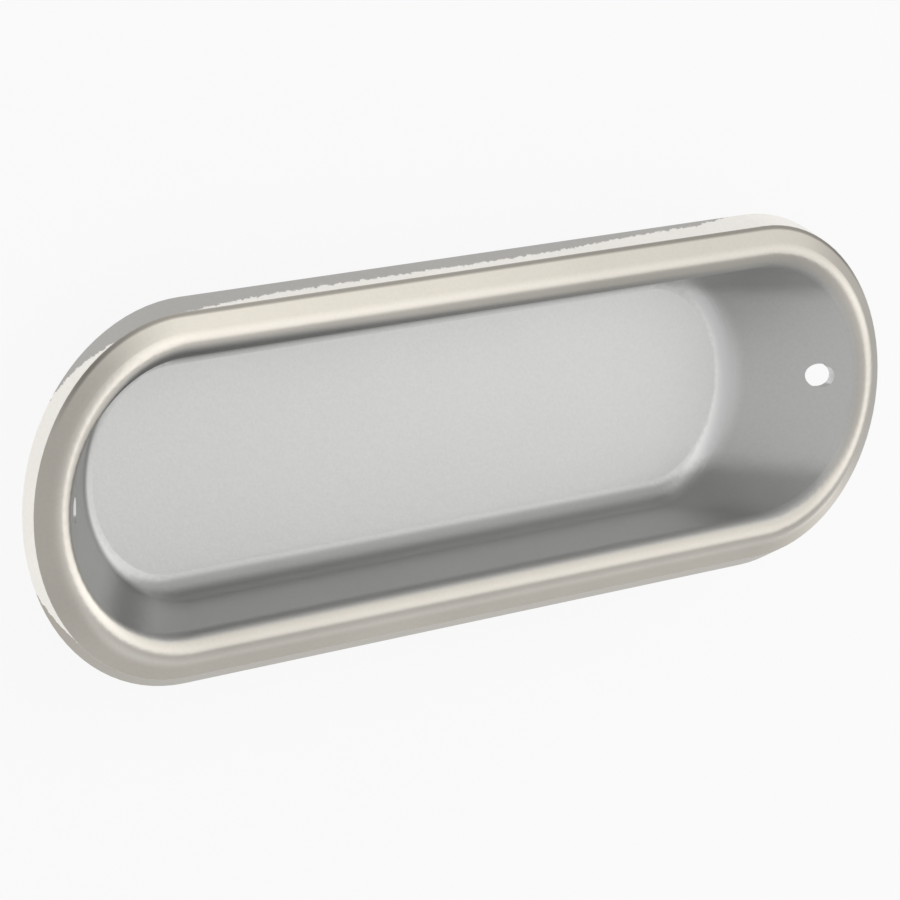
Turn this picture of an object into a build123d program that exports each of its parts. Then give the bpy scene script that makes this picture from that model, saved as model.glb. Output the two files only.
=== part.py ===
# Recessed pull handle: a deep-drawn obround cup of sheet steel with a domed rim, fixed with two nails.
# Millimetres.  X runs along the handle, Y across it, +Z out of the recess, towards the hand.
# Origin: centre of the flat underside of the cup's floor.
import os
from math import cos, pi, radians, sin, tan

from build123d import *

# ---- driving dimensions -----------------------------------------------------------------------
length = 120.0            # over the rim
width = 40.0              # over the foot of the rim's turned-down lip
sheet = 1.0               # thickness of the steel
depth = 12.1              # from the crest of the rim down to the cup's floor

lip_height = 1.9          # turned-down edge of the rim, from its foot up to its crease
lip_flare = 1.2           # how far the foot stands out past the crease along the straight sides
rim_slope = 28.0          # fall of the rim's face, from the crest out to the crease, degrees
crest_inset = 2.75        # crest of the rim, in from the crease
roll_radius = 2.0         # rounding of the rim into the cup, on the face that shows

end_draft = 41.5          # end walls, degrees from vertical
side_draft = 4.0          # side walls, degrees from vertical
floor_radius = 2.5        # rounding between wall and floor, on the face that shows

nail_hole = 2.8           # diameter
nail_splay = 15.0         # the nails lean outwards by this much as they go in, degrees
nail_drop = 3.7           # centre of the hole on the wall's face, below the crest

os.makedirs("parts", exist_ok=True)

# ---- sizes that follow ------------------------------------------------------------------------
slope = radians(rim_slope)
end_angle = radians(end_draft)
side_angle = radians(side_draft)

crest_z = sheet + depth
rim_fall = roll_radius * (1 - cos(slope)) + (crest_inset - roll_radius * sin(slope)) * tan(slope)
crease_z = crest_z - rim_fall
seat_z = crease_z - lip_height

crease_length = length
crease_width = width - 2 * lip_flare

# where the straight walls, carried up past their rounding, meet the plane of the crest
mouth_length = crease_length - 2 * crest_inset - 2 * roll_radius * tan((pi / 2 - end_angle) / 2)
mouth_width = crease_width - 2 * crest_inset - 2 * roll_radius * tan((pi / 2 - side_angle) / 2)


def cup_outline(z, back=0.0):
    # length and width of the cup's wall at height z, on its front or, one sheet behind, its back
    drop = crest_z - z
    end = mouth_length / 2 - drop * tan(end_angle) + back / cos(end_angle)
    side = mouth_width / 2 - drop * tan(side_angle) + back / cos(side_angle)
    return 2 * end, 2 * side


def lip_outline(z, back=0.0):
    # length and width of the lip at height z, on its outer face or, one sheet in, its inner one
    flare = lip_flare * (crease_z - z) / lip_height
    return length - 2 * back, crease_width + 2 * flare - 2 * back


def end_cone(end, low_z, low_outline, high_z, high_outline):
    # the rounded end (-1 or 1) of an obround form: the outer half of a leaning cone
    low_x, high_x = ((size[0] - size[1]) / 2 for size in (low_outline, high_outline))
    rise, run = high_z - low_z, high_x - low_x
    with BuildPart() as cone:
        for z, x, across in ((low_z, low_x, low_outline[1]), (high_z, high_x, high_outline[1])):
            with BuildSketch(Plane(origin=(end * x, 0, z), x_dir=(-end, 0, 0), z_dir=(0, 0, 1))):
                Circle(across / 2)
        loft(ruled=True)
        outwards = (end * rise, 0, -run)
        split(bisect_by=Plane(origin=(end * low_x, 0, low_z), x_dir=(0, 1, 0), z_dir=outwards))
    return cone.part


def obround_form(low_z, low_outline, high_z, high_outline):
    # solid between two level obrounds: flat sides, and half a leaning cone at either end
    cones = [end_cone(end, low_z, low_outline, high_z, high_outline) for end in (-1, 1)]
    low_x, high_x = ((size[0] - size[1]) / 2 for size in (low_outline, high_outline))
    rise, run = high_z - low_z, high_x - low_x
    low_side, high_side = low_outline[1] / 2, high_outline[1] / 2
    with BuildPart() as form:
        with BuildSketch(Plane.YZ):
            with BuildLine():
                Polyline(
                    (-low_side, low_z), (low_side, low_z), (high_side, high_z), (-high_side, high_z), close=True
                )
            make_face()
        extrude(amount=max(low_x, high_x), both=True)
        for end in (-1, 1):
            inwards = (-end * rise, 0, run)
            split(bisect_by=Plane(origin=(end * low_x, 0, low_z), x_dir=(0, 1, 0), z_dir=inwards))
        add(cones)
    return form.part


# ---- the cup's form, front and back ------------------------------------------------------------
over = 4.0                # both forms run on above the crest, to cut right through the rim
top_z = crest_z + over

with BuildPart() as cup_front:
    add(obround_form(sheet, cup_outline(sheet), top_z, cup_outline(top_z)))
    fillet(cup_front.faces().sort_by(Axis.Z)[0].edges(), floor_radius)

with BuildPart() as cup_back:
    add(obround_form(0, cup_outline(0, sheet), top_z, cup_outline(top_z, sheet)))
    fillet(cup_back.faces().sort_by(Axis.Z)[0].edges(), floor_radius + sheet)

# ---- the rim's form: lip, crease and sloping face ----------------------------------------------
reach = crest_inset + roll_radius       # the sloping face runs on inwards, over the cup's mouth
face_rise = reach * tan(slope)

with BuildPart() as rim_front:
    add(obround_form(seat_z, lip_outline(seat_z), crease_z, lip_outline(crease_z)))
    with BuildSketch(Plane.XY.offset(crease_z)):
        SlotOverall(crease_length, crease_width)
    extrude(amount=face_rise, taper=90 - rim_slope)

# ---- the hollow behind the rim, one sheet further in -------------------------------------------
back_crease_z = crease_z + sheet * tan(slope) - sheet / cos(slope)
back_length, back_width = lip_outline(back_crease_z, sheet)

with BuildPart() as rim_back:
    add(obround_form(seat_z, lip_outline(seat_z, sheet), back_crease_z, (back_length, back_width)))
    with BuildSketch(Plane.XY.offset(back_crease_z)):
        SlotOverall(back_length, back_width)
    extrude(amount=face_rise, taper=90 - rim_slope)
    add(cup_back.part, mode=Mode.SUBTRACT)
    ridge = rim_back.edges().filter_by_position(Axis.Z, back_crease_z + sheet / 2, crest_z + over)
    fillet(ridge, roll_radius - sheet)

# ---- the handle --------------------------------------------------------------------------------
splay = radians(nail_splay)
nail_z = crest_z - nail_drop
nail_x = cup_outline(nail_z)[0] / 2

with BuildPart() as recessed_pull:
    add(cup_back.part)
    split(bisect_by=Plane.XY.offset(seat_z), keep=Keep.BOTTOM)
    add(rim_front.part)
    add(rim_back.part, mode=Mode.SUBTRACT)
    add(cup_front.part, mode=Mode.SUBTRACT)
    mouth = recessed_pull.edges().filter_by_position(Axis.Z, crease_z + sheet, crest_z + over)
    fillet(mouth, roll_radius)
    for end in (-1, 1):
        towards_hand = (-end * sin(splay), 0, cos(splay))
        with Locations(Plane(origin=(end * nail_x, 0, nail_z), z_dir=towards_hand)):
            Hole(nail_hole / 2)

recessed_pull.part.label = "recessed_pull"
export_step(recessed_pull.part, "parts/recessed_pull.step")
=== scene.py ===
from math import pi, radians

import bpy
from mathutils import Euler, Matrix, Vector

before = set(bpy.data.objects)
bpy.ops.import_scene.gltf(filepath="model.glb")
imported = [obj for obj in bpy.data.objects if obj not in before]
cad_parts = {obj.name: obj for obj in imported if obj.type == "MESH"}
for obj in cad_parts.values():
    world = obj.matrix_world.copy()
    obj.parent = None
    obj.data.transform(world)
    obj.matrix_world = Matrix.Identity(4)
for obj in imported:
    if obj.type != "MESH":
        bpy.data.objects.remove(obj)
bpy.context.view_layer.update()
print("frame loaded")


class Socket:
    # one output of a node; sums on it add the Math nodes

    def __init__(self, tree, output):
        self.tree = tree
        self.output = output

    def outs(self):
        return [Socket(self.tree, output) for output in self.output.node.outputs]

    def math(self, operation, other=None, flip=False):
        node = self.tree.nodes.new("ShaderNodeMath")
        node.operation = operation
        inputs = [self] if other is None else [other, self] if flip else [self, other]
        for slot, value in zip(node.inputs, inputs):
            plug(self.tree, value, slot)
        return Socket(self.tree, node.outputs[0])

    def __add__(self, other):
        return self.math("ADD", other)

    def __radd__(self, other):
        return self.math("ADD", other, flip=True)

    def __sub__(self, other):
        return self.math("SUBTRACT", other)

    def __rsub__(self, other):
        return self.math("SUBTRACT", other, flip=True)

    def __mul__(self, other):
        return self.math("MULTIPLY", other)

    def __rmul__(self, other):
        return self.math("MULTIPLY", other, flip=True)

    def __truediv__(self, other):
        return self.math("DIVIDE", other)


def plug(tree, value, slot):
    # links a socket, or sets a plain number or colour
    if isinstance(value, Socket):
        tree.links.new(value.output, slot)
    elif isinstance(value, (tuple, list)) and len(value) == 3 and len(slot.default_value) == 4:
        slot.default_value = (*value, 1)
    else:
        slot.default_value = value


class Material:
    def __init__(self, name):
        self.data = bpy.data.materials.new(name)
        self.data.use_nodes = True
        self.tree = self.data.node_tree
        self.tree.nodes.clear()

    def add(self, kind, settings=None, out=0, **inputs):
        # a node of this kind, its settings first, then its sockets by name, or by number as _0
        node = self.tree.nodes.new("ShaderNode" + kind)
        for key, value in (settings or {}).items():
            setattr(node, key, value)
        for key, value in inputs.items():
            slot = node.inputs[int(key[1:])] if key[1:].isdigit() else node.inputs[key.replace("_", " ")]
            plug(self.tree, value, slot)
        return Socket(self.tree, node.outputs[out]) if node.outputs else None

    def ramp(self, value, low, high, start=0.0, end=1.0):
        # eases from start to end as value goes from low to high
        return self.add("MapRange", {"interpolation_type": "SMOOTHSTEP"},
                        Value=value, From_Min=low, From_Max=high, To_Min=start, To_Max=end)

    def blend(self, share, first, second):
        # first colour where share is 0, second where it is 1
        return self.add("Mix", {"data_type": "RGBA"}, out=2, _0=share, _6=first, _7=second)

    def noise(self, place, scale, rough=0.5):
        # from about -0.5 to 0.5
        return self.add("TexNoise", Vector=place, Scale=scale, Detail=3.0, Roughness=rough) - 0.5


def linear(*shade):
    # a colour on a 0-255 scale, as the shader wants it
    return tuple(((step / 255 + 0.055) / 1.055) ** 2.4 for step in shade)


nickel = {
    "rimColour": linear(221, 216, 206),
    # painted highlight: the crest's colour, lighter than the rim's, stands in for light along the crest
    "crestHighlightColour": linear(236, 231, 222),
    "cupColour": linear(236, 236, 235),
    "lipColour": linear(182, 180, 177),
    # painted shade: the lip's colour on the low side, a darker copy of it
    "lowLipShadedColour": linear(176, 171, 162),
    # painted highlight: the bright band on the lip below the crease
    "edgeHighlightColour": linear(247, 244, 238),
    "rimRoughness": 0.32,
    "cupRoughness": 0.5,
    # the noises' scales, per metre, and how much each changes the colour or the roughness
    "mottleScale": 90,
    "rimMottle": 0.14,
    "cupMottle": 0.06,
    "roughnessMottle": 0.08,
    "grainScale": 2600,
    "grainDepth": 0.11,
    "bumpStrength": 0.12,
    "bumpDistance": 0.0001,
    "raggedScale": 1400,
    "raggedDepth": 0.5,
}

# the handle in millimetres; a ring is the distance from the middle line of its straight run
plan = {
    "straightHalf": 41.2,
    "crestRing": 16.05,
    "faceRing": 17.0,            # the rim's face and the lip lie outside it
    "creaseHeight": 11.9,
    "lipStart": 0.02,            # below the crease
    "lipHeight": 1.9,
    "farCupShift": 0.5,          # the cup's grey reaches this much higher at the far left
    # painted highlight: where the crest's line of painted light lies, and how much further out on the low
    # side
    "crestHighlightShift": -0.3,          # the crest's bright line from the crest ring
    "lowCrestHighlightShift": 0.6,
    "farWallEnd": 36.0,
    # painted shade: the dark line in the crease on the far side
    "lineRise": 0.1,             # the dark line above the crease
    "cornerTurn": 0.75,          # a wall is a side wall where it faces y more than this share of x
}

# where each zone starts and where it is full: along x, y, z or the ring, or by the way the metal faces
fade = {
    "lowSide": (-8.0, -15.0),
    "farSide": (8.0, 15.0),
    "upperSide": (-9.0, -7.0),
    "farCupShift": (10.0, -36.0),
    "cup": (0.8, 1.9),
    "crest": (1.3, 0.5),
    "sideWall": (0.0, 0.34),
    "leftWall": (0.25, 0.5),
    "rightBendHeight": (3.2, 1.4),
    "rightBendTurn": (-0.03, -0.25),
    "nearBendFoot": (1.0, 1.25),
    "nearBendTop": (3.0, 2.0),
    "nearBendSide": (-6.0, -9.0),
    "nearBendTurn": (0.3, 0.05),
    "farWall": (3.0, 9.0),
    "nearWall": (-3.0, -9.0),
    "nearCorner": (37.0, 45.0),
    "farRim": (-45.0, 45.0),
    "innerRoll": (17.0, 16.0),
    "creaseLine": (0.2, 0.04),
    "leftCrest": (-36.0, -50.0),
    "leftCrestRing": (17.6, 16.4),
}

# painted light and shade: how much lighter, or darker with a minus, the metal is painted in a zone
paintedLightAndShade = {
    "sideWall": -0.45,
    "leftWall": -0.5,
    "rightBend": 0.3,
    "nearBend": -0.14,
    "farWall": 0.288,
    "nearCorner": 0.24,
    "lowRim": 0.15,
    "farRim": -0.2,
    "innerRoll": -0.28,
    "creaseLine": -0.55,
    "leftCrest": 0.14,
}

# the painted highlight band below the crease, its width as a share of the lip's height
band = {
    # from x, to x, width gained on the way
    "steps": ((-44, -27, 0.38), (2, 30, 0.32), (30, 42, 0.5)),
    "leftWidth": 1.25,
    "leftAlong": (-48.5, -59.0),
    "leftAcross": (-14.5, -5.0),
    "edge": (-0.03, 0.07),
    "start": (0.02, 0.08),
}


# painted highlight: where the bright band on the lip lies, with a ragged edge
def paintedHighlightBand(mat, place, x, y, drop, upperSide):
    ragged = mat.noise(place, nickel["raggedScale"], 0.7) * nickel["raggedDepth"]
    along = sum(mat.ramp(x, start, end, 0.0, gain) for start, end, gain in band["steps"])
    leftEnd = mat.ramp(x, *band["leftAlong"]) * mat.ramp(y, *band["leftAcross"])
    width = along * upperSide + leftEnd * band["leftWidth"]
    inside = mat.ramp(width - drop / plan["lipHeight"] + ragged, *band["edge"])
    return inside * mat.ramp(width, *band["start"])


def satinNickel():
    mat = Material("satinNickel")
    place = mat.add("TexCoord", out="Object")
    x, y, z = (axis * 1000 for axis in mat.add("SeparateXYZ", Vector=place).outs())
    towardsX, towardsY, _ = mat.add("SeparateXYZ", Vector=mat.add("TexCoord", out="Normal")).outs()
    turnX = towardsX.math("ABSOLUTE")
    beyond = (x.math("ABSOLUTE") - plan["straightHalf"]).math("MAXIMUM", 0)
    ring = (beyond * beyond + y * y).math("SQRT")
    drop = plan["creaseHeight"] - z

    # the large zones: cup, rim and lip, and the sides of the handle
    lowSide = mat.ramp(y, *fade["lowSide"])
    farSide = mat.ramp(y, *fade["farSide"])
    upperSide = mat.ramp(y, *fade["upperSide"])
    farCupShift = farSide * mat.ramp(x, *fade["farCupShift"]) * plan["farCupShift"]
    inCup = mat.ramp(plan["crestRing"] - ring + farCupShift, *fade["cup"])
    onRim = 1 - inCup
    outside = ring.math("GREATER_THAN", plan["faceRing"])
    onLip = drop.math("GREATER_THAN", plan["lipStart"]) * outside
    # painted highlight: a line of light along the crest, further out on the low side
    crestHighlightLine = plan["crestRing"] + plan["crestHighlightShift"] + lowSide * plan["lowCrestHighlightShift"]
    crest = mat.ramp((ring - crestHighlightLine).math("ABSOLUTE"), *fade["crest"])

    # the small ones, where light and shade are painted into the colour
    # painted shade: the cup's side walls darker, as if lit from above
    sideWall = mat.ramp(towardsY.math("ABSOLUTE") - turnX * plan["cornerTurn"], *fade["sideWall"]) * inCup
    # painted light and shade: the far wall darker towards the left end, lighter towards the right
    farWall = mat.ramp(y, *fade["farWall"]) * sideWall
    # painted light: the near wall lighter at its right corner
    nearWall = mat.ramp(y, *fade["nearWall"]) * sideWall
    # painted highlight: a glint on the cup's bend at the right end
    rightBend = mat.ramp(z, *fade["rightBendHeight"]) * mat.ramp(towardsX, *fade["rightBendTurn"])
    # painted shade: the bend at the foot of the near side wall darker
    nearBend = mat.ramp(z, *fade["nearBendFoot"]) * mat.ramp(z, *fade["nearBendTop"])
    nearBend = nearBend * mat.ramp(y, *fade["nearBendSide"]) * mat.ramp(turnX, *fade["nearBendTurn"])
    # painted shade: a dark line in the crease on the far side
    creaseLine = mat.ramp((drop + plan["lineRise"]).math("ABSOLUTE"), *fade["creaseLine"])
    # painted highlight: the crest lighter at the left end
    leftCrest = mat.ramp(x, *fade["leftCrest"]) * mat.ramp(ring, *fade["leftCrestRing"])
    paintedLightAndShadeZones = {
        "sideWall": sideWall,
        # painted shade: what faces +x darker, the cup's left end wall and the rim's right face
        "leftWall": mat.ramp(towardsX, *fade["leftWall"]),
        "rightBend": rightBend * inCup,
        "nearBend": nearBend * inCup,
        "farWall": farWall * x.math("MINIMUM", plan["farWallEnd"]) / plan["farWallEnd"],
        "nearCorner": nearWall * mat.ramp(x, *fade["nearCorner"]),
        # painted light: the rim lighter on the low side
        "lowRim": lowSide * onRim,
        # painted shade: the rim on the far side darker towards the right
        "farRim": farSide * mat.ramp(x, *fade["farRim"]) * onRim,
        # painted shade: the inner side of the low side's roll darker, so its highlight sits further out
        "innerRoll": mat.ramp(ring, *fade["innerRoll"]) * lowSide * onRim,
        "creaseLine": creaseLine * farSide * outside,
        "leftCrest": leftCrest * onRim,
    }
    # painted light and shade: each zone lightens or darkens the colour, and the lip is left out of it
    shade = 1
    for name, zone in paintedLightAndShadeZones.items():
        shade = shade * (1 + zone * paintedLightAndShade[name])
    shade = shade + onLip * (1 - shade)

    # painted highlight: the crest takes its lighter colour
    rim = mat.blend(crest, nickel["rimColour"], nickel["crestHighlightColour"])
    # painted shade: the low side of the lip takes the darker copy
    lip = mat.blend(upperSide, nickel["lowLipShadedColour"], nickel["lipColour"])
    # painted highlight: the bright band on the lip
    lip = mat.blend(paintedHighlightBand(mat, place, x, y, drop, upperSide), lip, nickel["edgeHighlightColour"])
    colour = mat.blend(onLip, mat.blend(inCup, rim, nickel["cupColour"]), lip)
    mottle = mat.noise(place, nickel["mottleScale"])
    grain = mat.noise(place, nickel["grainScale"], 0.6)
    clouds = mottle * (nickel["rimMottle"] + inCup * (nickel["cupMottle"] - nickel["rimMottle"]))
    shade = shade * (1 + clouds + grain * nickel["grainDepth"])
    colour = mat.add("VectorMath", {"operation": "SCALE"}, _0=colour, Scale=shade)

    roughness = nickel["rimRoughness"] + inCup * (nickel["cupRoughness"] - nickel["rimRoughness"])
    roughness = roughness + mottle * nickel["roughnessMottle"]
    bump = mat.add("Bump", Strength=nickel["bumpStrength"], Distance=nickel["bumpDistance"],
                   Height=grain * inCup)
    body = mat.add("BsdfPrincipled", Base_Color=colour, Metallic=1.0, Roughness=roughness, Normal=bump)
    mat.add("OutputMaterial", Surface=body)
    return mat.data


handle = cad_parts["recessed_pull"]
handle.data.materials.clear()
handle.data.materials.append(satinNickel())
print("handle finished")

stage = {
    "floorSize": 6.0,
    "floorColour": linear(240, 240, 240),
    "floorGlow": 0.9,             # share of plain white that the camera and the metal see in the floor
    "worldColour": (0.5, 0.5, 0.5),
}


def makeFloor():
    bpy.ops.object.select_all(action="DESELECT")
    bpy.ops.mesh.primitive_plane_add(size=stage["floorSize"])
    floor = bpy.context.object
    floor.name = "floor"
    mat = Material("floorWhite")
    plain = mat.add("BsdfDiffuse", Color=stage["floorColour"])
    glow = mat.add("Emission", Color=(1, 1, 1), Strength=1.0)
    cameraRay, _, _, glossyRay = mat.add("LightPath").outs()[:4]
    seen = cameraRay.math("MAXIMUM", glossyRay)
    mix = mat.add("MixShader", _0=seen * stage["floorGlow"], _1=plain, _2=glow)
    mat.add("OutputMaterial", Surface=mix)
    floor.data.materials.append(mat.data)


def makeWorld():
    world = bpy.data.worlds.new("studio")
    bpy.context.scene.world = world
    world.use_nodes = True
    sky = world.node_tree.nodes["Background"]
    sky.inputs["Color"].default_value = (*stage["worldColour"], 1)
    sky.inputs["Strength"].default_value = 1.0


lamps = {
    # name: place, width, height, brightness, colour
    "softboxRight": ((0.56, 0.22, 0.50), 0.9, 0.85, 0.72, (1.0, 0.99, 0.97)),
}


def makeLamps():
    for name, (place, width, height, brightness, colour) in lamps.items():
        light = bpy.data.lights.new(name, "AREA")
        light.shape = "RECTANGLE"
        light.size = width
        light.size_y = height
        light.energy = brightness * pi * width * height       # watts, for that brightness of its face
        light.color = colour
        lamp = bpy.data.objects.new(name, light)
        lamp.location = place
        lamp.rotation_euler = (-Vector(place)).to_track_quat("-Z", "Y").to_euler()
        bpy.context.collection.objects.link(lamp)


shot = {
    "lens": 188,
    "sensor": 36,
    "near": 0.01,
    "place": (-0.32751, 0.10094, 0.37595),
    "turn": (-11.71218, -41.50666, -0.06067),      # degrees about X, then Y, then Z
}


def makeCamera():
    data = bpy.data.cameras.new("camera")
    data.lens = shot["lens"]
    data.sensor_width = shot["sensor"]
    data.clip_start = shot["near"]
    camera = bpy.data.objects.new("camera", data)
    camera.location = shot["place"]
    camera.rotation_euler = Euler([radians(angle) for angle in shot["turn"]], "XYZ")
    bpy.context.collection.objects.link(camera)
    bpy.context.scene.camera = camera


makeFloor()
makeWorld()
makeLamps()
makeCamera()
bpy.context.scene.view_settings.view_transform = "Standard"
print("floor, light and camera set")
